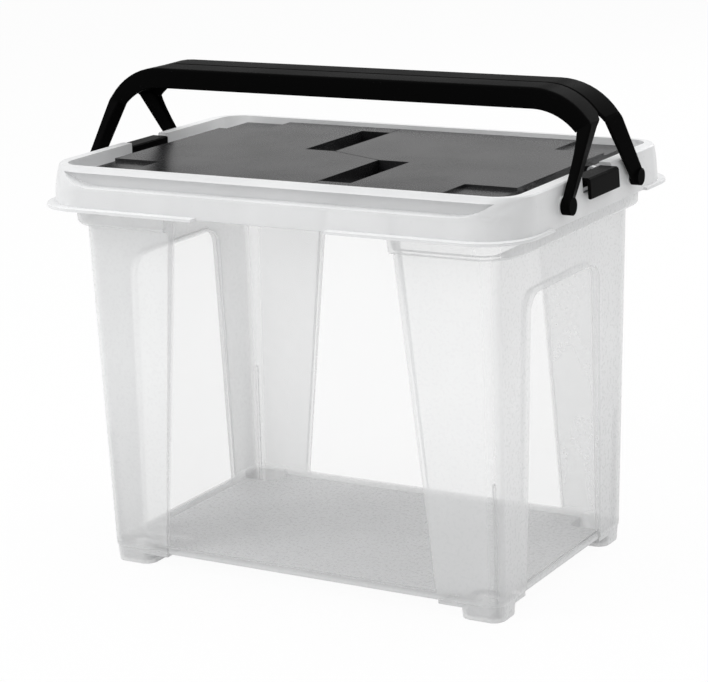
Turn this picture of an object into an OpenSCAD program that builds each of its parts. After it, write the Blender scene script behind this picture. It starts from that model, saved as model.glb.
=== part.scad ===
// Portable file box: a clear tub for hanging folders, a lid frame with two
// winged flaps, two latches and two carrying handles that meet over the middle.
// X runs along the long side, Y to the back, Z up. The box stands on Z = 0.

/* [Tub] */
// Half length of the tub wall just above the floor
tub_half_x = 152.8; // [140:0.1:170]
// Half depth of the tub wall just above the floor
tub_half_y = 97.2; // [90:0.1:110]
// How much further out the end walls are at the shoulder
tub_draft_x = 3.8; // [1:0.1:6]
// How much further out the long walls are at the shoulder
tub_draft_y = 8.6; // [4:0.1:12]
// Height of the floor's underside above the table
foot_h = 10.3; // [6:0.1:16]
// Height of the wall from the floor's underside to the shoulder
tub_wall_h = 233; // [200:1:260]
// Wall thickness of the tub
tub_wall = 2; // [1.6:0.1:2.6]
// Corner radius of the tub at the floor
tub_corner_r = 9; // [7:0.5:14]
// Width of the bevel where the floor meets the walls
floor_bevel = 5; // [2:0.5:8]

/* [Shoulder and rim] */
// How far the shoulder stands out from the end walls
shoulder_out_x = 11.6; // [9:0.1:13]
// How far the shoulder stands out from the long walls
shoulder_out_y = 6; // [4:0.1:7]
// Height of the shoulder, from its ledge to the rim
shoulder_h = 26.5; // [22:0.5:32]
// Corner radius of the shoulder
shoulder_r = 27; // [22:0.5:30]
// Width of the rim that turns outward
rim_w = 4.5; // [3:0.5:5]
// Thickness of the rim
rim_t = 2.6; // [2:0.1:3.5]

/* [Recessed panels] */
// Half width of the long side's panel at the floor
panel_half_bottom = 106.4; // [98:0.1:112]
// Half width of the long side's panel at the shoulder
panel_half_top = 85.4; // [75:0.1:95]
// Depth of the long side's panel at the floor
panel_depth_bottom = 1.2; // [0.8:0.1:3]
// Depth of the long side's panel at the shoulder
panel_depth_top = 6; // [4:0.1:8]
// Half width of the end's door shaped panel at the floor
door_half_bottom = 58.5; // [50:0.1:64]
// Half width of the end's door shaped panel at its top
door_half_top = 52.8; // [45:0.1:58]
// Height of the top of the door shaped panel
door_top_z = 210; // [180:1:225]
// Radius of the door shaped panel's top corners
door_r = 13; // [8:0.5:20]
// Depth of the door shaped panel at the floor
door_depth_bottom = 1.6; // [1.2:0.1:4]
// Depth of the door shaped panel at its top
door_depth_top = 4.4; // [3:0.1:6]

/* [Feet] */
// Distance from the middle to the inner side of a foot, along X
foot_in_x = 120; // [112:0.5:130]
// Distance from the middle to the inner side of a foot, along Y
foot_in_y = 67; // [62:0.5:76]
// How far the pillars hang below the floor
pad_h = 2.5; // [1.5:0.1:4]
// Corner radius of a foot
foot_r = 8; // [7:0.5:10]
// How far the ribs inside the corners reach above the floor
corner_rib_h = 84; // [50:1:120]

/* [Lid frame] */
// How far the lid skirt's lower edge reaches past the tub's rim at the ends
lid_past_x = 7.3; // [6.5:0.1:10]
// How far the lid skirt's lower edge reaches past the tub's rim on the long sides
lid_past_y = 8.7; // [8:0.1:11]
// Corner radius of the lid skirt at its lower edge
lid_corner_r = 35; // [32:0.5:38]
// Height of the skirt below the deck
skirt_h = 12.5; // [10:0.5:16]
// How far the lid's rim stands above the deck
lid_rise = 12.3; // [11.5:0.1:14]
// How far the ends of the lid lean in from skirt to rim
lid_lean_x = 1.6; // [0.8:0.1:2.4]
// How far the long sides of the lid lean in from skirt to rim
lid_lean_y = 11.2; // [10:0.1:13]
// Width of the lid's rim at the ends
rim_end_w = 8.4; // [7.5:0.1:10]
// Width of the lid's rim along the long sides
rim_side_w = 5.3; // [4.8:0.1:6.5]
// Wall thickness of the lid
lid_wall = 2; // [1.6:0.1:2.4]
// Height of the bead over the handle groove
bead_h = 3.4; // [2.5:0.1:4.5]
// Depth of the handle groove below the bead
groove_in = 1.8; // [1:0.1:2]
// Distance from the handle groove's ends to the ends of the lid
groove_end = 18; // [14:0.5:30]
// Length over which the groove's ends run out
groove_taper = 26; // [12:1:40]
// How far the flange at the corners stands out along X
lip_out_x = 3; // [2:0.1:4]
// How far the flange at the corners stands out along Y
lip_out_y = 6.5; // [4:0.1:8]
// Thickness of the flange
lip_t = 1.8; // [1.4:0.1:2.4]
// Half length of the gap in the flange on the long sides
lip_gap_x = 50; // [30:1:70]
// Half length of the gap in the flange on the ends
lip_gap_y = 72; // [60:1:80]

/* [Wings] */
// Width of the trough between a wing's end wall and the lid's rim
trough_w = 16; // [15:0.5:20]
// Gap between a wing's long edge and the lid's rim
wing_side_gap = 3.5; // [2:0.1:5]
// How far the wings' top lies below the lid's rim
wing_below_rim = 2.4; // [2:0.1:4]
// Thickness of the wings' top
wing_t = 2; // [1.6:0.1:2.6]
// Width of the gap between the two wings
wing_gap = 0.8; // [0.5:0.1:1.5]
// Distance from the middle to the long edge of the tongues
tongue_x = 23; // [18:0.5:30]
// Half depth of the slanted seam in the middle
seam_y = 10; // [6:0.5:14]
// Width of a finger scoop
scoop_w = 23.5; // [20:0.5:30]
// Distance from a finger scoop's end to the wing's long edge
scoop_end = 16; // [12:0.5:24]
// Room that the corner pockets leave on the inner side of a foot, along X
pocket_room_x = 3; // [1:0.5:6]
// Room that the corner pockets leave on the inner side of a foot, along Y
pocket_room_y = 1; // [0.5:0.5:4]
// Depth of the corner pockets that take the feet of a box above
pocket_depth = 2; // [1.5:0.1:3]
// Height of the wings' hinge axis above the deck
wing_axis_h = 3.6; // [3.4:0.1:4.5]
// Distance from the wing's end wall to its hinge axis
wing_axis_out = 5.2; // [5:0.1:6]
// Radius of the wings' hinge knuckles
knuckle_r = 3; // [2.8:0.1:3.3]
// Length of a hinge knuckle
knuckle_l = 12; // [8:0.5:16]
// Distance from the middle to the centre of a knuckle
knuckle_y = 44; // [36:0.5:60]
// Radius of the wings' hinge pins
wing_pin_r = 1.4; // [1.2:0.1:1.6]

/* [Latches] */
// Half length of a latch
latch_half_y = 22.3; // [18:0.1:22.5]
// How far a latch stands out beyond the end of the lid
latch_proud = 5; // [4.5:0.1:7]
// Height of the latch's lower edge above the deck's underside
latch_drop = 1.6; // [0.5:0.1:3]
// Thickness of the latch's plates
latch_t = 2.4; // [2:0.1:2.6]
// Radius of the latch's hinge pins
latch_pin_r = 1.5; // [1.2:0.1:1.8]

/* [Handles] */
// Height of the grip's top above the table
grip_top_z = 338.8; // [332:0.1:350]
// Width of the grip
grip_w = 23.6; // [20:0.1:28]
// Depth of the grip's outer wall
grip_depth = 14; // [11:0.1:15]
// Thickness of the handle's plate
handle_t = 2.6; // [2.4:0.1:3.2]
// Thickness of the grip's outer wall
grip_wall = 3.4; // [2.5:0.1:5]
// How far the straight part of the grip ends short of the lid's end
grip_short = 36; // [30:0.5:60]
// Radius of the bend between grip and leg
bend_r = 50; // [44:0.5:56]
// Radius of the knee where the bend meets the leg
knee_r = 8; // [5:0.5:14]
// Depth of the handle's wall at the knee
knee_depth = 9; // [7:0.1:11]
// How far the leg leans in at its upper end
leg_lean_x = 0.8; // [0.4:0.1:1.4]
// Distance from the middle plane to a handle's pivot
pivot_y = 53.6; // [50:0.1:57]
// Height of the handle pivots above the lid's lower edge
pivot_h = 12.4; // [11:0.1:13.5]
// Radius of the leg's round end
leg_end_r = 5.8; // [5:0.1:7]
// Thickness of the leg's round end
leg_end_t = 6.4; // [6:0.1:7]
// How much thinner the leg is at its inner edge
leg_slant = 2.8; // [1:0.1:3]
// Radius of the handle's pivot pins
handle_pin_r = 3.2; // [2.5:0.1:3.6]
// Lean of a leg's outer edge from the upright, in degrees
leg_lean = 37.6; // [34:0.2:40]
// Depth below the grip's top at which the two handles part
part_drop = 17; // [14:0.5:24]

/* [Clearances] */
// Radial running clearance of a pin in its bore
pin_clear = 0.05; // [0.03:0.01:0.1]
// Gap between faces that move past each other
slide_gap = 0.35; // [0.3:0.05:0.6]
// Gap under a piece that rests on another
seat_gap = 0.25; // [0.1:0.05:0.3]

/* [Hidden] */

eps = 0.01;
over = 1;
corner_steps = 7;

// Heights that every piece shares
floor_z = foot_h;
shoulder_z = floor_z + tub_wall_h;
rim_z = shoulder_z + shoulder_h;
deck_under = rim_z + seat_gap;
deck_z = deck_under + lid_wall;
lid_top = deck_z + lid_rise;
skirt_z = deck_under - skirt_h;
wing_top = lid_top - wing_below_rim;
wing_foot = deck_z + slide_gap;

// Outline of the tub at the shoulder and of its rim
top_half_x = tub_half_x + tub_draft_x;
top_half_y = tub_half_y + tub_draft_y;
shoulder_x = top_half_x + shoulder_out_x;
shoulder_y = top_half_y + shoulder_out_y;
panel_y = tub_half_y - panel_depth_bottom;
panel_tilt = atan((tub_draft_y + panel_depth_bottom - panel_depth_top) / tub_wall_h);
panel_slope = (panel_half_bottom - panel_half_top) / tub_wall_h;
door_h = door_top_z - floor_z;
door_x = tub_half_x - door_depth_bottom;
pad_in = 1;
pad_gap = 0.4;
rib_t = 1.6;
rib_in = 4.6;
door_tilt = atan((tub_draft_x * door_h / tub_wall_h + door_depth_bottom - door_depth_top) / door_h);

// The lid's lower edge and its inner edges
lid_half_x = shoulder_x + rim_w + lid_past_x;
lid_half_y = shoulder_y + rim_w + lid_past_y;
well_x = lid_half_x - lid_lean_x - rim_end_w;
well_y = lid_half_y - lid_lean_y - rim_side_w;
well_r = 15;
wing_end_x = well_x - trough_w;
wing_half_y = well_y - wing_side_gap;
ledge_x = 6;
ledge_y = 9;
deck_in_x = wing_end_x - ledge_x;
deck_in_y = wing_half_y - ledge_y;
groove_half_x = lid_half_x - groove_end;
lid_top_y = lid_half_y - lid_lean_y;
channel_half_y = 84;
boss_l = 6.2;
boss_wall = 3;

// Wings and their hinges
wing_axis_x = wing_end_x + wing_axis_out;
wing_axis_z = deck_z + wing_axis_h;
scoop_out_x = tongue_x + scoop_w;
scoop_end_y = wing_half_y - scoop_end;
scoop_floor_z = wing_foot - slide_gap;
tray_h = wing_top - scoop_floor_z + over;
pocket_x = foot_in_x - pocket_room_x;
pocket_y = foot_in_y - pocket_room_y;
wing_rib_t = 1.6;
rib_y = pocket_y - 4;
rib_pitch = (wing_end_x - scoop_out_x) / 4;
lug_w = 4;
lug_y = knuckle_l / 2 + slide_gap + lug_w / 2;

// Latches
latch_axis_in = 3.6;
latch_axis_drop = 6.2;
latch_top_drop = 2.2;
latch_axis_x = well_x + latch_axis_in;
latch_axis_z = lid_top - latch_axis_drop;
latch_top = lid_top - latch_top_drop;
latch_foot = deck_under - latch_drop;
latch_out_x = lid_half_x + latch_proud;
notch_half_y = latch_half_y + slide_gap;
notch_x = well_x - lid_wall - 0.4;

// Handles: the leg is upright in the front view, then a knee and a wide bend lead to the grip
leg_inset = 0.2;
handle_pin_l = 5.8;
pivot_z = skirt_z + pivot_h;
leg_x = lid_half_x + slide_gap;
leg_out_x = leg_x + leg_end_t;
leg_wall = leg_end_t - leg_inset;
leg_face_x = leg_out_x - leg_inset / 2;
knee_x = leg_face_x - leg_lean_x;
grip_half_x = lid_half_x - grip_short;
bend_from = acos((knee_x - knee_r - grip_half_x) / (bend_r - knee_r));
knee_z = grip_top_z - bend_r + (bend_r - knee_r) * sin(bend_from);
join_y = slide_gap;
join_z = grip_top_z - part_drop;
tangent_r = leg_end_r - leg_inset;
leg_start_z = pivot_z + sin(leg_lean) * tangent_r;
leg_start_y = pivot_y + cos(leg_lean) * tangent_r;
inner_lean = leg_lean + 2.8;
inner_foot_z = pivot_z - sin(inner_lean) * tangent_r;
inner_foot_y = pivot_y - cos(inner_lean) * tangent_r;
edge_top_z = leg_start_z + (leg_start_y - grip_w - join_y) / tan(leg_lean);
leg_foot_z = pivot_z - leg_end_r / 2;
leg_steps = 6;
knee_steps = 3;
bend_steps = 9;

// Rounded rectangle as a ring of points, counter-clockwise
function ring(hx, hy, r) = [
    for (q = [0:3])
        let (sx = (q == 0 || q == 3) ? 1 : -1, sy = q < 2 ? 1 : -1)
        for (i = [0:corner_steps])
            let (a = 90 * (q + i / corner_steps))
            [sx * (hx - r) + r * cos(a), sy * (hy - r) + r * sin(a)]
];

// Solid through rings of points that all have the same count
module skin(rings) {
    n = len(rings[0]);
    m = len(rings);
    points = [for (r = rings) each r];
    sides = [
        for (k = [0:m - 2], i = [0:n - 1])
            let (j = (i + 1) % n)
            each [[k * n + i, (k + 1) * n + i, (k + 1) * n + j],
                  [k * n + i, (k + 1) * n + j, k * n + j]]
    ];
    foot = [[for (i = [0:n - 1]) i]];
    head = [[for (i = [n - 1:-1:0]) (m - 1) * n + i]];
    polyhedron(points = points, faces = concat(sides, foot, head), convexity = 8);
}

// Upright solid through rounded rectangles, each given as [z, hx, hy, r]
module loft(levels) {
    skin([for (s = levels) [for (p = ring(s[1], s[2], s[3])) [p[0], p[1], s[0]]]]);
}

module mirror_x() {
    children();
    mirror([1, 0, 0]) children();
}

module mirror_y() {
    children();
    mirror([0, 1, 0]) children();
}

// Plate from an outline drawn in X and Z, thick towards the front
module upright(outline, thickness) {
    rotate([90, 0, 0]) linear_extrude(thickness) polygon(outline);
}

// Outline of the long side's panel, widened by grow and carried up to the rim
function panel_outline(grow, low, high) = [
    [-panel_half_bottom - grow - panel_slope * (floor_z - low), low],
    [panel_half_bottom + grow + panel_slope * (floor_z - low), low],
    [panel_half_bottom + grow - panel_slope * (high - floor_z), high],
    [-panel_half_bottom - grow + panel_slope * (high - floor_z), high]
];

// Outline of the end's door shaped panel, widened by grow
function door_outline(grow, low) =
    let (
        slope = (door_half_bottom - door_half_top) / door_h,
        half_low = door_half_bottom + grow + slope * (floor_z - low),
        half_top = door_half_top + grow,
        r = door_r + grow
    )
    [
        [half_low, low],
        for (i = [0:6]) [half_top - r + r * cos(15 * i), door_top_z + grow - r + r * sin(15 * i)],
        for (i = [6:-1:0]) [-half_top + r - r * cos(15 * i), door_top_z + grow - r + r * sin(15 * i)],
        [-half_low, low]
    ];

// The wall below the shoulder, carried on with its draft to the height high
module wall_form(inset, low, bevel, high) {
    share = (low + bevel - floor_z) / tub_wall_h;
    share_top = (high - floor_z) / tub_wall_h;
    r_top = tub_corner_r + 3;
    hx = tub_half_x - inset;
    hy = tub_half_y - inset;
    loft([
        [low, hx - bevel, hy - bevel, max(tub_corner_r - inset - bevel / 2, 2)],
        [low + bevel, hx + tub_draft_x * share, hy + tub_draft_y * share, tub_corner_r - inset],
        [high, hx + tub_draft_x * share_top, hy + tub_draft_y * share_top, r_top - inset]
    ]);
}

// The outside of the shoulder, up to the rim
module shoulder_form(inset, low, high) {
    loft([
        [low, shoulder_x - inset - 1.2, shoulder_y - inset - 1.2, shoulder_r - inset - 1.2],
        [low + 1.6, shoulder_x - inset, shoulder_y - inset, shoulder_r - inset],
        [high, shoulder_x - inset + 0.6, shoulder_y - inset + 0.6, shoulder_r - inset]
    ]);
}

module panel_step(grow, depth, low, high) {
    translate([0, -panel_y, floor_z]) rotate([panel_tilt, 0, 0]) translate([0, depth, -floor_z])
        upright(panel_outline(grow, low, high), 30);
}

module door_step(grow, depth, low) {
    translate([door_x, 0, floor_z]) rotate([0, door_tilt, 0]) translate([-depth, 0, -floor_z])
        rotate([90, 0, 90]) linear_extrude(30) polygon(door_outline(grow, low));
}

module foot_form(inset, low, high) {
    cx = (foot_in_x + tub_half_x) / 2;
    cy = (foot_in_y + tub_half_y) / 2;
    hx = (tub_half_x - foot_in_x) / 2 - 0.6;
    hy = (tub_half_y - foot_in_y) / 2 - 0.6;
    translate([cx, cy, 0]) loft([
        [low, hx - inset - 0.8, hy - inset - 0.8, foot_r - inset],
        [high, hx - inset, hy - inset, foot_r - inset]
    ]);
}

// The pillars' foot plates, which hang a little below the floor
module corner_pad() {
    x0 = panel_half_bottom + pad_gap;
    y0 = door_half_bottom + pad_gap;
    x1 = tub_half_x - pad_in;
    y1 = tub_half_y - pad_in;
    translate([0, 0, floor_z - pad_h]) linear_extrude(pad_h + over) difference() {
        translate([x0, y0]) square([x1 - x0, y1 - y0]);
        translate([x1, y1]) difference() {
            translate([-foot_r, -foot_r]) square(2 * foot_r);
            translate([-foot_r, -foot_r]) circle(r = foot_r, $fn = 48);
        }
    }
}

// Plan of a corner rib at height z, moving outward with the walls' draft
function rib_ring(z) =
    let (
        share = (z - floor_z) / tub_wall_h,
        cx = tub_half_x - rib_in + tub_draft_x * share,
        cy = tub_half_y - rib_in + tub_draft_y * share,
        t = rib_t / 2
    )
    [
        for (s = [[-3, -t], [1.3, -t], [1.3, t], [-3, t]])
            [cx + (s[0] - s[1]) * cos(45), cy + (s[0] + s[1]) * cos(45), z]
    ];

module corner_rib() {
    skin([rib_ring(tub_wall / 2), rib_ring(floor_z + corner_rib_h)]);
}

module tub() {
    color([0.9, 0.92, 0.93, 0.45]) {
        tub_shell();
        mirror_x() mirror_y() corner_rib();
    }
}

// Wall, shoulder and rim as shells, with the panels' back faces, the pillars' plates and the feet
module tub_shell() {
    difference() {
        union() {
            difference() {
                union() {
                    wall_form(0, floor_z, 1.4, shoulder_z + over);
                    shoulder_form(0, shoulder_z, rim_z - eps);
                }
                wall_form(tub_wall, floor_z + tub_wall, floor_bevel, shoulder_z + tub_wall + over);
                shoulder_form(tub_wall, shoulder_z + tub_wall, rim_z + over);
            }
            intersection() {
                wall_form(0, floor_z, 1.4, shoulder_z + over);
                union() {
                    mirror_y() panel_step(tub_wall, tub_wall, floor_z, rim_z);
                    mirror_x() door_step(tub_wall, tub_wall, floor_z);
                }
            }
            intersection() {
                shoulder_form(0, shoulder_z, rim_z - eps);
                mirror_y() panel_step(tub_wall, tub_wall, floor_z, rim_z);
            }
            difference() {
                loft([
                    [rim_z - rim_t, shoulder_x + rim_w, shoulder_y + rim_w, shoulder_r + rim_w],
                    [rim_z, shoulder_x + rim_w, shoulder_y + rim_w, shoulder_r + rim_w]
                ]);
                difference() {
                    shoulder_form(tub_wall, rim_z - rim_t - over, rim_z + over);
                    mirror_y() panel_step(tub_wall, tub_wall, floor_z, rim_z + 2 * over);
                }
            }
            mirror_x() mirror_y() {
                corner_pad();
                foot_form(0, 0, floor_z + 0.85 * tub_wall);
            }
        }
        mirror_y() intersection() {
            panel_step(0, 0, floor_z - over, rim_z);
            translate([-shoulder_x, -2 * shoulder_y, 0])
                cube([2 * shoulder_x, 2 * shoulder_y, rim_z - rim_t]);
        }
        mirror_x() door_step(0, 0, floor_z - over);
        mirror_x() mirror_y() foot_form(tub_wall, tub_wall, floor_z + tub_wall + floor_bevel);
    }
}

module lid_form() {
    loft([
        [skirt_z, lid_half_x, lid_half_y, lid_corner_r],
        [skirt_z + 0.5 * skirt_h, lid_half_x - 0.2, lid_half_y - 0.5, lid_corner_r - 0.5],
        [deck_under, lid_half_x - 0.5, lid_half_y - 1.3, lid_corner_r - 1],
        [deck_z + 1, lid_half_x - 0.7, lid_half_y - 2.4, lid_corner_r - 2.1],
        [deck_z + 0.4 * lid_rise, lid_half_x - 1, lid_half_y - 5.2, lid_corner_r - 4.8],
        [deck_z + 0.75 * lid_rise, lid_half_x - lid_lean_x + 0.2, lid_top_y + 2.2, lid_corner_r - 8.6],
        [lid_top - 1, lid_half_x - lid_lean_x, lid_top_y, lid_corner_r - 10.5],
        [lid_top, lid_half_x - lid_lean_x - 0.9, lid_top_y - 0.9, lid_corner_r - 11.2]
    ]);
}

// Front view of the handle groove, whose lower edge rises to meet the bead at both ends
function groove_outline(low, high) =
    let (
        x = groove_half_x,
        ends = [for (i = [0:5]) [x - groove_taper * (1 - i / 5), low + (high - low) * pow(i / 5, 2)]]
    )
    concat(ends, [for (i = [5:-1:0]) [-ends[i][0], ends[i][1] + (i == 5 ? eps : 0)]]);

module groove_cut() {
    translate([0, groove_in - lid_top_y, 0]) upright(groove_outline(deck_z, lid_top - bead_h), 30);
}

module lip() {
    difference() {
        loft([
            [skirt_z - 0.4, lid_half_x + lip_out_x, lid_half_y + lip_out_y, lid_corner_r],
            [skirt_z - 0.4 + lip_t, lid_half_x + lip_out_x - 0.4, lid_half_y + lip_out_y - 0.4, lid_corner_r]
        ]);
        loft([
            [skirt_z - over, lid_half_x - 1, lid_half_y - 1, lid_corner_r - 1],
            [deck_under, lid_half_x - 1, lid_half_y - 1, lid_corner_r - 1]
        ]);
        mirror_y() translate([-lip_gap_x, lid_half_y - 0.4, skirt_z - over]) cube([2 * lip_gap_x, 20, 10]);
        mirror_x() translate([lid_half_x - 0.4, -lip_gap_y, skirt_z - over]) cube([20, 2 * lip_gap_y, 10]);
    }
}

// Ears that carry the wings' hinge pins, at the end of the trough
module wing_lug(y) {
    translate([wing_axis_x, y + lug_w / 2, wing_axis_z]) rotate([90, 0, 0]) {
        cylinder(r = knuckle_r, h = lug_w, $fn = 48);
        translate([-knuckle_r + 1, -wing_axis_h - 0.5, 0])
            cube([2 * knuckle_r - 2, wing_axis_h + 0.5, lug_w]);
    }
}

module wing_bore(y) {
    translate([wing_axis_x, y + lug_w, wing_axis_z]) rotate([90, 0, 0])
        cylinder(r = wing_pin_r + pin_clear, h = 2 * lug_w, $fn = 48);
}

// Room inside the skirt, which has the lean of the skirt's outside
module skirt_hollow() {
    hx = lid_half_x - lid_wall;
    hy = lid_half_y - lid_wall;
    r = lid_corner_r - lid_wall;
    loft([[skirt_z - over, hx, hy, r], [deck_under, hx - 0.5, hy - 1.3, r - 1]]);
}

module lid_frame() {
    color([0.93, 0.94, 0.95, 0.75]) difference() {
        union() {
            difference() {
                lid_form();
                mirror_y() groove_cut();
                skirt_hollow();
                loft([
                    [deck_z, well_x, well_y, well_r],
                    [lid_top + over, well_x, well_y, well_r]
                ]);
                loft([
                    [deck_under - over, deck_in_x, deck_in_y, 6],
                    [deck_z + over, deck_in_x, deck_in_y, 6]
                ]);
                mirror_x() translate([well_x + lid_wall, -channel_half_y, deck_under - over])
                    cube([rim_end_w - 2 * lid_wall, 2 * channel_half_y, lid_rise + over]);
            }
            lip();
            mirror_x() mirror_y() {
                translate([well_x, notch_half_y, deck_under])
                    cube([rim_end_w - 0.8, 6, lid_rise]);
                translate([leg_x - boss_l, pivot_y, pivot_z]) rotate([0, 90, 0])
                    cylinder(r = handle_pin_r + boss_wall, h = boss_l - slide_gap, $fn = 64);
                wing_lug(knuckle_y - lug_y);
                wing_lug(knuckle_y + lug_y);
            }
        }
        mirror_x() {
            translate([notch_x, -notch_half_y, deck_z]) cube([20, 2 * notch_half_y, 20]);
            mirror_y() {
                translate([latch_axis_x, notch_half_y + 5, latch_axis_z]) rotate([90, 0, 0])
                    cylinder(r = latch_pin_r + pin_clear, h = 6, $fn = 48);
                translate([leg_x - 8, pivot_y, pivot_z]) rotate([0, 90, 0])
                    cylinder(r = handle_pin_r + pin_clear, h = 10, $fn = 64);
                wing_bore(knuckle_y - lug_y);
                wing_bore(knuckle_y + lug_y);
            }
        }
    }
}

// How far the ends of the slanted seam move forward for a wing that keeps g clear of the seam
function seam_shift(g) = g * (norm([tongue_x, seam_y]) - seam_y) / tongue_x;

// Plan of the left wing: its tongue reaches over the middle in front of the slanted seam
function wing_plan(inset) =
    let (
        g = wing_gap / 2 + inset,
        x0 = -wing_end_x + inset,
        y1 = wing_half_y - inset
    )
    [
        [x0, -y1], [tongue_x - g, -y1], [tongue_x - g, -seam_y - seam_shift(g)],
        [-tongue_x - g, seam_y - seam_shift(g)], [-tongue_x - g, y1], [x0, y1]
    ];

// Tray of the finger scoop, which begins where the slanted seam ends and is open towards the
// other wing's edge
module scoop_tray(grow) {
    y0 = seam_y - seam_shift(wing_gap / 2);
    translate([-scoop_out_x - grow, y0 - grow, scoop_floor_z - grow])
        cube([scoop_w + grow + over, scoop_end_y - y0 + 2 * grow, tray_h + grow]);
}

module wing_pockets(inset, low) {
    mirror_y() translate([-wing_end_x - over, pocket_y - inset, low])
        cube([wing_end_x - pocket_x + over + inset, wing_half_y - pocket_y + inset + over, 20]);
}

// Ribs under the wing's top, three across and three along
module wing_ribs() {
    rib_foot = wing_foot + wing_t;
    rib_h = wing_top - wing_foot - 1.5 * wing_t;
    for (i = [1:3])
        translate([i * rib_pitch - wing_end_x, -wing_half_y, rib_foot])
            cube([wing_rib_t, 2 * wing_half_y, rib_h]);
    for (y = [-rib_y, 0, rib_y])
        translate([-wing_end_x, y, rib_foot])
            cube([wing_end_x + (y < 0 ? tongue_x - wing_t : -scoop_out_x - wing_t / 2), wing_rib_t, rib_h]);
}

module wing() {
    difference() {
        union() {
            difference() {
                translate([0, 0, wing_foot]) linear_extrude(wing_top - wing_foot) polygon(wing_plan(0));
                translate([0, 0, wing_foot - over]) linear_extrude(wing_top - wing_t - wing_foot + over)
                    polygon(wing_plan(wing_t));
            }
            intersection() {
                translate([0, 0, scoop_floor_z - wing_t]) linear_extrude(wing_top - scoop_floor_z + wing_t)
                    polygon(wing_plan(0));
                scoop_tray(wing_t);
            }
            intersection() {
                translate([0, 0, wing_foot]) linear_extrude(wing_top - wing_foot) polygon(wing_plan(0));
                union() {
                    difference() {
                        wing_pockets(wing_t, wing_top - pocket_depth - wing_t);
                        translate([0, 0, -20]) wing_pockets(0, wing_top - pocket_depth - wing_t);
                    }
                    wing_pockets(0, wing_top - pocket_depth - wing_t);
                    wing_ribs();
                }
            }
            mirror_y() translate([-wing_axis_x, knuckle_y + knuckle_l / 2, wing_axis_z]) rotate([90, 0, 0]) {
                cylinder(r = knuckle_r, h = knuckle_l, $fn = 48);
                translate([0, 0.8 - knuckle_r, 0]) cube([wing_axis_out + 1, 2 * knuckle_r - 1.6, knuckle_l]);
            }
        }
        scoop_tray(0);
        wing_pockets(0, wing_top - pocket_depth);
    }
    mirror_y() translate([-wing_axis_x, knuckle_y + knuckle_l / 2 + lug_w, wing_axis_z])
        rotate([90, 0, 0]) cylinder(r = wing_pin_r, h = knuckle_l + 2 * lug_w, $fn = 48);
}

module left_wing() {
    color([0.13, 0.13, 0.14]) wing();
}

module right_wing() {
    color([0.13, 0.13, 0.14]) rotate([0, 0, 180]) wing();
}

// Section of the latch across the box's end, as the right-hand one shows it
function latch_outline() = [
    [latch_axis_x - 3.4, latch_axis_z - 3],
    [latch_axis_x - 2.6, latch_axis_z - 3.8],
    [latch_axis_x + 3, latch_axis_z - 3.8],
    [latch_axis_x + 3.8, latch_axis_z - 3],
    [latch_axis_x + 3.8, latch_top - latch_t - 1],
    [latch_axis_x + 4.8, latch_top - latch_t],
    [latch_out_x - latch_t - 1.6, latch_top - latch_t],
    [latch_out_x - latch_t - 0.6, latch_top - latch_t - 1],
    [latch_out_x - latch_t, latch_foot + 0.6],
    [latch_out_x - latch_t + 0.6, latch_foot],
    [latch_out_x - 0.4, latch_foot],
    [latch_out_x, latch_foot + 0.5],
    [latch_out_x - 0.7, latch_top - 2],
    [latch_out_x - 1.2, latch_top - 0.8],
    [latch_out_x - 2.4, latch_top],
    [latch_axis_x - 2.6, latch_top],
    [latch_axis_x - 3.4, latch_top - 0.8]
];

module latch() {
    translate([0, latch_half_y, 0]) upright(latch_outline(), 2 * latch_half_y);
    mirror_y() translate([latch_axis_x, latch_half_y + 4.6, latch_axis_z]) rotate([90, 0, 0])
        cylinder(r = latch_pin_r, h = 5, $fn = 48);
}

module right_latch() {
    color([0.09, 0.09, 0.1]) latch();
}

module left_latch() {
    color([0.09, 0.09, 0.1]) rotate([0, 0, 180]) latch();
}

// Outer edge and centre edge of the handle, as distances from the middle plane. Below the place
// where the leg's outer edge meets its round end, the outer edge runs on inside that end.
function edge_out(z) =
    z >= edge_top_z ? grip_w + join_y
    : z >= leg_start_z ? grip_w + join_y + (edge_top_z - z) * tan(leg_lean)
    : pivot_y + (leg_start_y - pivot_y) * (z - leg_foot_z) / (leg_start_z - leg_foot_z);
function edge_in(z) =
    z >= join_z ? join_y
    : join_y + (inner_foot_y - join_y) * (join_z - z) / (join_z - inner_foot_z);

// One ring of the handle: x and z of its outer face, the slope of that face and the wall's depth
function handle_ring(x, z, a, d) =
    let (
        yo = edge_out(z), yi = edge_in(z), w = grip_wall,
        c = leg_slant * pow(cos(a), 2),
        t = c + handle_t,
        section = [
            [c + 0.1, -yi - 1], [c + 0.9, -yi], [t - 0.8, -yi], [t, -yi - 0.8], [t, -yo + w + 0.4],
            [d - 0.5, -yo + w], [d, -yo + w - 0.8], [d, -yo + 0.8], [d - 0.7, -yo + 0.1],
            [2.2, -yo], [1, -yo + 0.3], [0.35, -yo + 0.9], [0, -yo + 2.2]
        ]
    )
    [for (s = section) [x - s[0] * cos(a), s[1], z - s[0] * sin(a)]];

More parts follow.
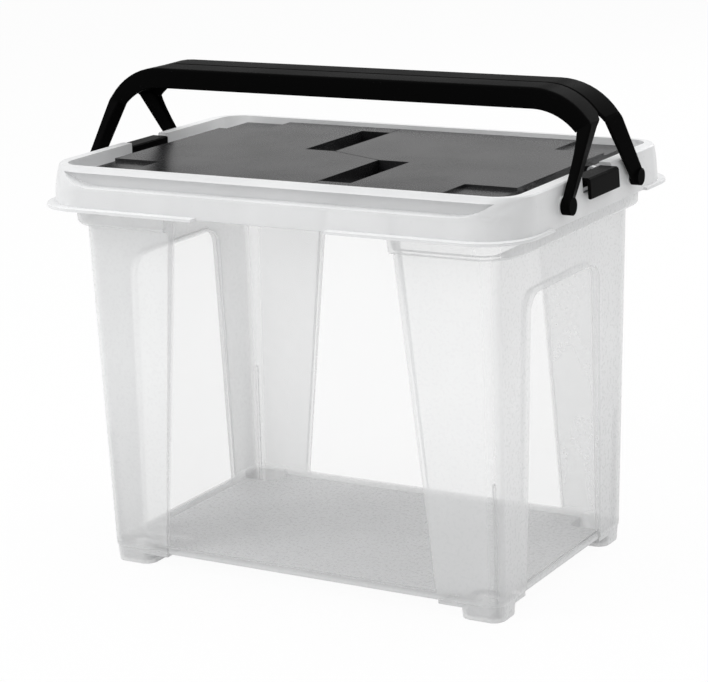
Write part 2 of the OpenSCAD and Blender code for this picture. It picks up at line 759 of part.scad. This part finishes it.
function leg_rings() = [
    handle_ring(leg_face_x, leg_foot_z, 0, leg_wall),
    for (i = [0:leg_steps - 1])
        let (
            u = i / leg_steps,
            d = leg_wall + (knee_depth - leg_wall) * pow(u, 4)
        )
        handle_ring(leg_face_x - leg_lean_x * u, leg_start_z + u * (knee_z - leg_start_z), 0, d)
];
function wall_depth(a) = knee_depth + (grip_depth - knee_depth) * pow(sin(a), 0.8);
function knee_rings() = [
    for (i = [0:knee_steps - 1])
        let (a = bend_from * i / knee_steps)
        handle_ring(knee_x - knee_r * (1 - cos(a)), knee_z + knee_r * sin(a), a, wall_depth(a))
];
function bend_rings() = [
    for (i = [0:bend_steps])
        let (a = bend_from + (90 - bend_from) * i / bend_steps)
        handle_ring(grip_half_x + bend_r * cos(a), grip_top_z - bend_r * (1 - sin(a)), a, wall_depth(a))
];
function flip_ring(r) = [for (p = r) [-p[0], p[1], p[2]]];

module handle() {
    half = concat(leg_rings(), knee_rings(), bend_rings());
    last = len(half) - 1;
    skin(concat(half, [for (i = [last:-1:0]) flip_ring(half[i])]));
    mirror_x() {
        translate([leg_x, -pivot_y, pivot_z]) rotate([0, 90, 0]) {
            cylinder(r = leg_end_r, h = leg_end_t, $fn = 64);
            translate([0, 0, -handle_pin_l]) cylinder(r = handle_pin_r, h = handle_pin_l + eps, $fn = 64);
        }
    }
}

module front_handle() {
    color([0.06, 0.06, 0.065]) handle();
}

module rear_handle() {
    color([0.06, 0.06, 0.065]) rotate([0, 0, 180]) handle();
}

tub();
lid_frame();
left_wing();
right_wing();
front_handle();
rear_handle();
left_latch();
right_latch();
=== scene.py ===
# %% [markdown]
# # A portable file box, dressed for its picture
# The box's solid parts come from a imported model: a clear tub, a milky lid
# frame, two black wings, two latches and two carrying handles. This lesson
# keeps every part where it is, gives each one its plastic, and sets up a
# small photo studio round it. Lengths are in metres, unless a name says mm.

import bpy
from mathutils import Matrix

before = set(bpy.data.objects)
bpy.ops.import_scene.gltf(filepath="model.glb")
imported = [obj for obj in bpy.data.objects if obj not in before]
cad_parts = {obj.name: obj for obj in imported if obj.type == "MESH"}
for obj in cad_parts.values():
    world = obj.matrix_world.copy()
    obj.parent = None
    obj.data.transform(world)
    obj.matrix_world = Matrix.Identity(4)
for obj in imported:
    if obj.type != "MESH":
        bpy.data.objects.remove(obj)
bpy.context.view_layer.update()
print("parts:", sorted(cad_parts))

# %% Blender's own modules
import math

import bpy
from mathutils import Matrix, Vector

scene = bpy.context.scene
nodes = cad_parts

# %% [markdown]
# ## The camera
# The picture was taken from the box's right front corner, a little above it,
# with a long lens. The long lens keeps the upright walls almost parallel. The
# numbers below come from fitting the picture's straight edges. The aim point
# lies inside the box, and the camera looks at it along one direction and then
# rolls by less than two degrees, because the box leans slightly in the frame.

# %% Camera numbers
azimuth = math.radians(30.272)
elevation = math.radians(14.429)
roll = math.radians(-1.884)
distance = 1.68762
aim = Vector((-0.005595, 0.0, 0.150981))
picture_width = 708
focal_pixels = 2427.58
sensor_width = 36.0
lens_shift_x = -0.0021
lens_shift_y = -0.0001
nearest_seen = 0.05
farthest_seen = 60.0
print("the camera aims at", list(aim))

# %% Camera directions
look = Vector((
    -math.sin(azimuth) * math.cos(elevation),
    math.cos(azimuth) * math.cos(elevation),
    -math.sin(elevation),
))
level_right = Vector((math.cos(azimuth), math.sin(azimuth), 0.0))
level_up = level_right.cross(look)
cam_right = level_right * math.cos(roll) + level_up * math.sin(roll)
cam_up = level_up * math.cos(roll) - level_right * math.sin(roll)
cam_place = aim - look * distance
print("camera stands at", [round(c, 3) for c in cam_place])

# %% Build the camera
cam_data = bpy.data.cameras.new("studio_camera")
cam_data.sensor_fit = "HORIZONTAL"
cam_data.sensor_width = sensor_width
cam_data.lens = focal_pixels * sensor_width / picture_width
cam_data.shift_x = lens_shift_x
cam_data.shift_y = lens_shift_y
cam_data.clip_start = nearest_seen
cam_data.clip_end = farthest_seen
camera = bpy.data.objects.new("studio_camera", cam_data)
camera.matrix_world = Matrix((
    (cam_right.x, cam_up.x, -look.x, cam_place.x),
    (cam_right.y, cam_up.y, -look.y, cam_place.y),
    (cam_right.z, cam_up.z, -look.z, cam_place.z),
    (0.0, 0.0, 0.0, 1.0),
))
scene.collection.objects.link(camera)
scene.camera = camera
print("lens:", round(cam_data.lens, 2), "mm")

# %% [markdown]
# ## Small helpers for shader nodes
# Every finish here is built from nodes. Four short helpers keep the cells
# readable: one makes an empty material, one adds a node and sets its inputs,
# one joins two sockets, and one closes a finish with its output node.

# %% Shader helpers
def new_finish(name):
    finish = bpy.data.materials.new(name)
    finish.use_nodes = True
    finish.node_tree.nodes.clear()
    return finish


def add_node(finish, kind, **inputs):
    node = finish.node_tree.nodes.new(kind)
    for key, value in inputs.items():
        node.inputs[key.replace("_", " ")].default_value = value
    return node


def join(finish, source, target):
    finish.node_tree.links.new(source, target)


def close_finish(finish, surface):
    out = add_node(finish, "ShaderNodeOutputMaterial")
    join(finish, surface, out.inputs["Surface"])
    return finish


# %% [markdown]
# ## Sums inside a shader
# A shader can do sums with a point's place on the part, so that one material
# can change from zone to zone. One helper turns a value's span into another
# span, one adds a single sum, and one blends two numbers. A value may be a
# plain number or the result of another node, and the helper called fill
# treats each as it needs.

# %% Sum helpers
def between(finish, value, low, high, start=0.3, end=0.7):
    span = add_node(finish, "ShaderNodeMapRange")
    span.inputs["From Min"].default_value = start
    span.inputs["From Max"].default_value = end
    span.inputs["To Min"].default_value = low
    span.inputs["To Max"].default_value = high
    join(finish, value, span.inputs["Value"])
    return span.outputs["Result"]


def fill(finish, sockets, values):
    for socket, value in zip(sockets, values):
        if isinstance(value, bpy.types.NodeSocket):
            join(finish, value, socket)
        else:
            socket.default_value = value


def sum_of(finish, operation, first, second=0.0):
    node = add_node(finish, "ShaderNodeMath")
    node.operation = operation
    fill(finish, node.inputs, (first, second))
    return node.outputs[0]


def mixed(finish, share, low, high):
    node = add_node(finish, "ShaderNodeMix")
    fill(finish, (node.inputs[0], node.inputs[2], node.inputs[3]), (share, low, high))
    return node.outputs[0]


# %% [markdown]
# ## Grain that belongs to the plastic
# Moulded plastic is never perfectly even. A fine noise in the object's own
# coordinates stays on the part when the part moves. It is used twice: to vary
# the roughness a little, and as a very shallow bump.

# %% Grain helpers
mm_in_a_metre = 1000.0


def grain(finish, size_mm, detail=3.0, stretch=(1.0, 1.0, 1.0)):
    place = add_node(finish, "ShaderNodeTexCoord")
    shape = add_node(finish, "ShaderNodeMapping")
    shape.inputs["Scale"].default_value = stretch
    noise = add_node(finish, "ShaderNodeTexNoise", Scale=mm_in_a_metre / size_mm, Detail=detail)
    join(finish, place.outputs["Object"], shape.inputs["Vector"])
    join(finish, shape.outputs["Vector"], noise.inputs["Vector"])
    return noise.outputs["Fac"]


def shallow_bump(finish, value, depth_mm, strength):
    bump = add_node(finish, "ShaderNodeBump", Strength=strength)
    bump.inputs["Distance"].default_value = depth_mm / mm_in_a_metre
    join(finish, value, bump.inputs["Height"])
    return bump.outputs["Normal"]


# %% [markdown]
# ## Where the clear panels are
# The tub's recessed panels are thin and clear. The pillars beside them, the
# frames of the door shaped panels and the shoulder look milky. The borders of
# the long panels lean inward as they rise, and the door shaped panels end in
# round top corners. A mask in the part's own coordinates was chosen instead
# of two materials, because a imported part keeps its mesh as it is. The mask is
# one on a panel and zero beside it.

# %% Sizes of the panels
floor_level = 0.0103
bevel_top = 0.0153
rim_level = 0.2698
long_half_low = 0.1064
long_half_high = 0.0830
long_wall_from = 0.070
door_half_low = 0.0585
door_half_high = 0.0528
door_top = 0.210
door_round = 0.013
end_wall_from = 0.130
border = 0.0005
soft_start = 0.002
print("long panels:", 2 * long_half_low, "m wide at the floor")
print("door shaped panels:", 2 * door_half_low, "m wide at the floor")


# %% Coordinates of a point
def own_place(finish):
    place = add_node(finish, "ShaderNodeTexCoord")
    split = add_node(finish, "ShaderNodeSeparateXYZ")
    join(finish, place.outputs["Object"], split.inputs[0])
    side_x = sum_of(finish, "ABSOLUTE", split.outputs["X"])
    side_y = sum_of(finish, "ABSOLUTE", split.outputs["Y"])
    return side_x, side_y, split.outputs["Z"]


def inside(finish, depth):
    return between(finish, depth, 0.0, 1.0, -border, border)


# %% Mask of the long panels
def long_mask(finish, side_x, side_y, height):
    half = between(finish, height, long_half_low, long_half_high, floor_level, rim_level)
    panel = inside(finish, sum_of(finish, "SUBTRACT", half, side_x))
    wall = between(finish, side_y, 0.0, 1.0, long_wall_from, long_wall_from + soft_start)
    return sum_of(finish, "MULTIPLY", panel, wall)


# %% Mask of the door shaped panels
def door_mask(finish, side_x, side_y, height):
    half = between(finish, height, door_half_low, door_half_high, floor_level, door_top)
    round_from = sum_of(finish, "SUBTRACT", half, door_round)
    past_side = sum_of(finish, "SUBTRACT", side_y, round_from)
    past_side = sum_of(finish, "MAXIMUM", past_side, 0.0)
    past_top = sum_of(finish, "SUBTRACT", height, door_top - door_round)
    past_top = sum_of(finish, "MAXIMUM", past_top, 0.0)
    side_squared = sum_of(finish, "MULTIPLY", past_side, past_side)
    top_squared = sum_of(finish, "MULTIPLY", past_top, past_top)
    reach = sum_of(finish, "SQRT", sum_of(finish, "ADD", side_squared, top_squared))
    panel = inside(finish, sum_of(finish, "SUBTRACT", door_round, reach))
    wall = between(finish, side_x, 0.0, 1.0, end_wall_from, end_wall_from + soft_start)
    return sum_of(finish, "MULTIPLY", panel, wall)


# %% Mask of all panels
def panel_mask(finish):
    place = own_place(finish)
    either = sum_of(finish, "MAXIMUM", long_mask(finish, *place), door_mask(finish, *place))
    above_floor = between(finish, place[2], 0.0, 1.0, bevel_top, bevel_top + border)
    return sum_of(finish, "MULTIPLY", either, above_floor)


# %% [markdown]
# ## Clear and milky plastic
# The tub is polypropylene. It is clear enough to see the far wall through it,
# but it scatters some light, so that it looks like thin haze. The haze is
# denser where one looks along a wall than where one looks straight through
# it. The finish mixes a see-through shader with a plastic one, and the facing
# angle sets the share. The wall is a real shell with two faces, so the haze
# adds up by itself where walls overlap in the picture. A slow noise makes the
# haze a little uneven, as in a real moulding.

# %% Plastic numbers
plastic_ior = 1.49
hazy_shine = 0.4
smoother_by = 0.05
rougher_by = 0.08
hazy_bump_mm = 0.02
hazy_bump_strength = 0.08
cloud_mm = 60.0
cloud_stretch = (1.0, 1.0, 0.35)
thinnest_cloud = 0.92
densest_cloud = 1.08
print("the haze varies from", thinnest_cloud, "to", densest_cloud)


# %% The body of a plastic
def plastic_body(finish, colour, shine):
    body = add_node(finish, "ShaderNodeBsdfPrincipled", IOR=plastic_ior)
    body.inputs["Base Color"].default_value = (*colour, 1.0)
    body.inputs["Specular IOR Level"].default_value = shine
    return body


# %% How dense the haze is
def haze_share(finish, haze_pair, panel_pair):
    facing = add_node(finish, "ShaderNodeLayerWeight", Blend=0.5).outputs["Facing"]
    haze = between(finish, facing, *haze_pair, 0.0, 1.0)
    if panel_pair:
        thin = between(finish, facing, *panel_pair, 0.0, 1.0)
        haze = mixed(finish, panel_mask(finish), haze, thin)
    cloud = grain(finish, cloud_mm, detail=2.0, stretch=cloud_stretch)
    uneven = between(finish, cloud, thinnest_cloud, densest_cloud)
    return sum_of(finish, "MULTIPLY", haze, uneven)


# %% A see-through plastic
def hazy_plastic(name, colour, haze_pair, roughness, grain_mm, panel_pair=None):
    finish = new_finish(name)
    body = plastic_body(finish, colour, hazy_shine)
    body.name = "plastic"
    fine = grain(finish, grain_mm)
    rough = between(finish, fine, roughness - smoother_by, roughness + rougher_by)
    join(finish, rough, body.inputs["Roughness"])
    bump = shallow_bump(finish, fine, hazy_bump_mm, hazy_bump_strength)
    join(finish, bump, body.inputs["Normal"])
    share = haze_share(finish, haze_pair, panel_pair)
    share.node.name = "haze"
    blend = add_node(finish, "ShaderNodeMixShader")
    blend.name = "blend"
    join(finish, share, blend.inputs[0])
    join(finish, add_node(finish, "ShaderNodeBsdfTransparent").outputs[0], blend.inputs[1])
    join(finish, body.outputs[0], blend.inputs[2])
    return close_finish(finish, blend.outputs[0])


# %% Tub plastic and lid plastic
tub_colour = (0.96, 0.965, 0.97)
tub_haze = (0.21, 0.72)
tub_panel_haze = (0.008, 0.20)
lid_colour = (0.88, 0.885, 0.89)
lid_haze = (0.66, 0.97)

clear_plastic = hazy_plastic("clear_plastic", tub_colour, tub_haze, 0.28, 2.4, tub_panel_haze)
milky_plastic = hazy_plastic("milky_plastic", lid_colour, lid_haze, 0.32, 1.6)
print("see-through finishes:", clear_plastic.name, milky_plastic.name)

# %% [markdown]
# ## Painted shade on the tub's floor and lower walls
# The tub's floor, its bevel and the feet are looked at nearly edge on,
# through more plastic than a wall has, so that zone's haze is denser. The height
# above the table, in the part's own coordinates, tells the shader where the
# floor ends. Below that height the colour is darker, as painted shade for the
# table's shadow under the tub, and the haze is denser.
# The walls also get a little greyer towards the floor, as they do in the
# picture. A second material for the floor would have been simpler, but a
# imported part keeps its mesh, and with it one slot for its finish.

# %% Floor numbers
floor_zone_from = 12.0 / mm_in_a_metre
floor_zone_to = (12.0 + 3.0) / mm_in_a_metre
wall_fades_to = 150.0 / mm_in_a_metre
# painted shade: the floor zone's colour is darkened for the table's shadow under the tub
floor_painted_shade = 0.87
# painted shade: the walls darken towards the floor, for the light the ground does not send up
low_wall_painted_shade = 0.84
denser_by = 1.6
print("the floor zone ends", floor_zone_to, "m above the table")


# %% A colour that changes with height
def tinted(finish, height, low_colour, high_colour, start, end):
    tint = add_node(finish, "ShaderNodeMix")
    tint.data_type = "RGBA"
    share = between(finish, height, 0.0, 1.0, start, end)
    fill(finish, (tint.inputs[0], *tint.inputs[6:8]), (share, low_colour, high_colour))
    return tint.outputs[2]


def shaded(colour, shade):
    return (*[c * shade for c in colour], 1.0)


# %% Paint shade on the floor zone and lower walls
def paint_shade_on_floor(finish, colour):
    tree = finish.node_tree.nodes
    height = own_place(finish)[2]
    # painted shade: the lower walls darken towards the floor
    low_wall = shaded(colour, low_wall_painted_shade)
    wall = tinted(finish, height, low_wall, (*colour, 1.0), floor_zone_to, wall_fades_to)
    # painted shade: the floor zone is darker, for the table's shadow under the tub
    floor_colour_in_painted_shade = shaded(colour, floor_painted_shade)
    whole = tinted(finish, height, floor_colour_in_painted_shade, wall, floor_zone_from, floor_zone_to)
    join(finish, whole, tree["plastic"].inputs["Base Color"])
    denser = between(finish, height, denser_by, 1.0, floor_zone_from, floor_zone_to)
    thick = sum_of(finish, "MULTIPLY", tree["haze"].outputs[0], denser)
    thick.node.use_clamp = True
    join(finish, thick, tree["blend"].inputs[0])


paint_shade_on_floor(clear_plastic, tub_colour)
print("shaded the floor zone of", clear_plastic.name)

# %% [markdown]
# ## Black plastic
# Wings, latches and handles are dyed black. The wings are textured in the
# mould, so they look grey where the white room mirrors in them at a low
# angle, and darker where a handle's leg mirrors in them. Handles and latches
# are dyed deeper and hardly shine in the picture. A fine noise and a wide one
# together vary the roughness, as fingers and stacking do on a used box.

# %% Black numbers
fine_rough = 0.04
wide_mm = 45.0
wide_smoother = -0.02
wide_rougher = 0.03
print("roughness of the blacks varies by", fine_rough)


# %% A black plastic
def black_plastic(name, colour, shine, roughness, grain_mm, bump_mm, strength):
    finish = new_finish(name)
    body = plastic_body(finish, colour, shine)
    fine = grain(finish, grain_mm)
    wide = grain(finish, wide_mm, detail=2.0)
    near = between(finish, fine, roughness - fine_rough, roughness + fine_rough)
    far = between(finish, wide, wide_smoother, wide_rougher)
    join(finish, sum_of(finish, "ADD", near, far), body.inputs["Roughness"])
    join(finish, shallow_bump(finish, fine, bump_mm, strength), body.inputs["Normal"])
    return close_finish(finish, body.outputs[0])


# %% Blacks of wings, handles and latches
wing_colour = (0.018, 0.018, 0.019)
handle_colour = (0.003, 0.003, 0.003)
latch_colour = (0.004, 0.004, 0.004)

wing_black = black_plastic("wing_black", wing_colour, 0.43, 0.25, 0.8, 0.03, 0.2)
handle_black = black_plastic("handle_black", handle_colour, 0.003, 0.3, 1.4, 0.02, 0.15)
latch_black = black_plastic("latch_black", latch_colour, 0.01, 0.3, 1.2, 0.02, 0.2)
print("black finishes:", wing_black.name, handle_black.name, latch_black.name)

# %% [markdown]
# ## Give every part its finish
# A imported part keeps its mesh. It only gets another material in its slots,
# and three modifiers. The first joins points that lie on one another. The
# second rounds the sharp edges by a fraction of a millimetre, because real
# moulds have no knife edges and a rounded edge catches the light. The third
# keeps large flat faces looking flat.

# %% Dressing numbers
weld_reach = 0.00001
sharp_from = math.radians(28)
round_segments = 2
edge_mm = 0.35
handled_edge_mm = 0.4
print("edges sharper than", round(math.degrees(sharp_from)), "degrees are rounded")


# %% Dress one part
def dress(name, finish, rounding_mm):
    part = nodes[name]
    part.data.materials.clear()
    part.data.materials.append(finish)
    weld = part.modifiers.new("weld", "WELD")
    weld.merge_threshold = weld_reach
    rounding = part.modifiers.new("rounding", "BEVEL")
    rounding.width = rounding_mm / mm_in_a_metre
    rounding.segments = round_segments
    rounding.limit_method = "ANGLE"
    rounding.angle_limit = sharp_from
    rounding.use_clamp_overlap = True
    rounding.harden_normals = False
    for face in part.data.polygons:
        face.use_smooth = True
    flat = part.modifiers.new("flat_faces", "WEIGHTED_NORMAL")
    flat.keep_sharp = False


# %% Dress all parts
dress("tub", clear_plastic, edge_mm)
dress("lid_frame", milky_plastic, edge_mm)
for side in ("left", "right"):
    dress(side + "_wing", wing_black, edge_mm)
    dress(side + "_latch", latch_black, handled_edge_mm)
for side in ("front", "rear"):
    dress(side + "_handle", handle_black, handled_edge_mm)
print("dressed", len(nodes), "parts")

# %% [markdown]
# ## The table
# The picture has a plain white ground. A wide pale floor lies under the feet
# and keeps a soft shadow. Its material adds plain white only where the camera
# or a reflection sees it, so the ground looks white without any more light
# falling on the box.

# %% Floor sheet
floor_half = 14.0
corners = [(-1, -1), (1, -1), (1, 1), (-1, 1)]
floor_mesh = bpy.data.meshes.new("studio_floor")
floor_points = [(x * floor_half, y * floor_half, 0) for x, y in corners]
floor_mesh.from_pydata(floor_points, [], [(0, 1, 2, 3)])
studio_floor = bpy.data.objects.new("studio_floor", floor_mesh)
scene.collection.objects.link(studio_floor)
print("floor is", 2 * floor_half, "m wide")

# %% Floor finish
white = (1.0, 1.0, 1.0, 1.0)
ground_grey = 0.86
ground_roughness = 0.9
white_share = 0.95

pale_ground = new_finish("pale_ground")
ground_body = add_node(pale_ground, "ShaderNodeBsdfPrincipled", Roughness=ground_roughness)
ground_body.inputs["Base Color"].default_value = (ground_grey, ground_grey, ground_grey, 1.0)
ground_body.inputs["Specular IOR Level"].default_value = 0.0
ground_glow = add_node(pale_ground, "ShaderNodeEmission", Color=white, Strength=1.0)
rays = add_node(pale_ground, "ShaderNodeLightPath").outputs
seen = sum_of(pale_ground, "MAXIMUM", rays["Is Camera Ray"], rays["Is Glossy Ray"])
ground_mix = add_node(pale_ground, "ShaderNodeMixShader")
join(pale_ground, sum_of(pale_ground, "MULTIPLY", seen, white_share), ground_mix.inputs[0])
join(pale_ground, ground_body.outputs[0], ground_mix.inputs[1])
join(pale_ground, ground_glow.outputs[0], ground_mix.inputs[2])
floor_mesh.materials.append(close_finish(pale_ground, ground_mix.outputs[0]))
print("share of plain white:", white_share)

# %% [markdown]
# ## The white room
# A white room all round gives the plastic something pale to mirror. It is
# plain white where the camera sees it, straight or through the plastic, and
# a good deal weaker as a light, so that the lamps still shape the box.

# %% White room
room_strength = 0.55

room = bpy.data.worlds.new("white_room")
room.use_nodes = True
scene.world = room
room.node_tree.nodes.clear()
rays = add_node(room, "ShaderNodeLightPath").outputs
seen = sum_of(room, "MAXIMUM", rays["Is Camera Ray"], rays["Is Transmission Ray"])
room_light = add_node(room, "ShaderNodeBackground", Color=white)
join(room, between(room, seen, room_strength, 1.0, 0.0, 1.0), room_light.inputs["Strength"])
room_out = add_node(room, "ShaderNodeOutputWorld")
join(room, room_light.outputs[0], room_out.inputs["Surface"])
print("room strength:", room_strength)

# %% [markdown]
# ## Studio light
# Three large soft lamps light the box: one high in front on the left, one
# behind it to make the plastic glow, and one from above. Large lamps give
# soft edges to the highlights. Each row below says where a lamp stands, what
# it points at, its two side lengths and its power in watts.

# %% Lamp table
lamp_table = {
    "key_lamp": ((-1.1, -1.5, 1.7), (0, 0, 0.2), (1.4, 1.4), 20.0),
    "back_lamp": ((0.4, 2.2, 1.2), (0, 0, 0.15), (2.2, 1.4), 17.5),
    "top_lamp": ((0.2, 0.1, 2.2), (0, 0, 0.2), (1.6, 1.6), 17.0),
}
print("power of all lamps:", sum(row[-1] for row in lamp_table.values()), "W")


# %% Lamps
def soft_lamp(name, place, target, size, watts):
    lamp_data = bpy.data.lights.new(name, "AREA")
    lamp_data.shape = "RECTANGLE"
    lamp_data.size, lamp_data.size_y = size
    lamp_data.energy = watts
    lamp = bpy.data.objects.new(name, lamp_data)
    lamp.location = place
    direction = Vector(target) - Vector(place)
    lamp.rotation_euler = direction.to_track_quat("-Z", "Y").to_euler()
    scene.collection.objects.link(lamp)


for lamp_name, row in lamp_table.items():
    soft_lamp(lamp_name, *row)
scene.view_settings.view_transform = "Standard"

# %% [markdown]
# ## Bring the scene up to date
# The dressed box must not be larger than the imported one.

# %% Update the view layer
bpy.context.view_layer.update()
